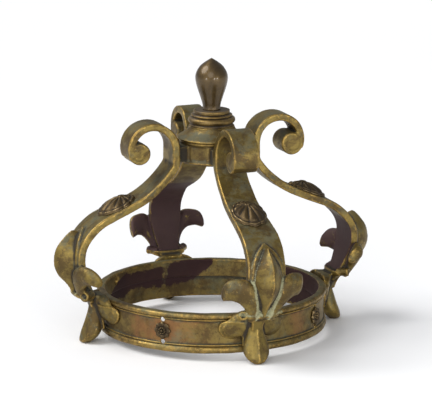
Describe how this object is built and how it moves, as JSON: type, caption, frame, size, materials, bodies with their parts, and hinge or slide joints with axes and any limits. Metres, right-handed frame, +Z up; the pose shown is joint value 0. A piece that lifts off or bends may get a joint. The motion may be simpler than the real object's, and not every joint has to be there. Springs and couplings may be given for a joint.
{
  "type": "ceremonial crown",
  "caption": "Cast brass ceremonial crown: a moulded head band, scrolled arches with fleurs-de-lis on bud feet, shell bosses and a turned hub with a bud finial.",
  "frame": {"origin": "on the crown's axis, at the floor under the flat spots of its feet", "axes": "+Z up along the axis to the finial, arches along +X, -X, +Y and -Y, the front arch along -Y"},
  "size_m": [0.291, 0.2908, 0.2412],
  "materials": {
    "cast": "aged cast brass with a patina, bright on worn edges",
    "dark": "dark patinated cast brass",
    "band": "aged cast brass with a warm reddish field",
    "hub": "aged turned brass",
    "finial": "smooth brown patinated brass, satin"
  },
  "bodies": {
    "root": {"band": "band", "arch_front": "cast", "arch_right": "cast", "arch_back": "cast", "arch_left": "cast", "boss_front": "dark", "boss_right": "dark", "boss_back": "dark", "boss_left": "dark", "rosette_front_right": "dark", "rosette_back_right": "dark", "rosette_back_left": "dark", "rosette_front_left": "dark", "hub_drum": "hub", "hub_cap": "hub", "hub_collar": "hub", "finial": "finial"}
  },
  "joints": []
}
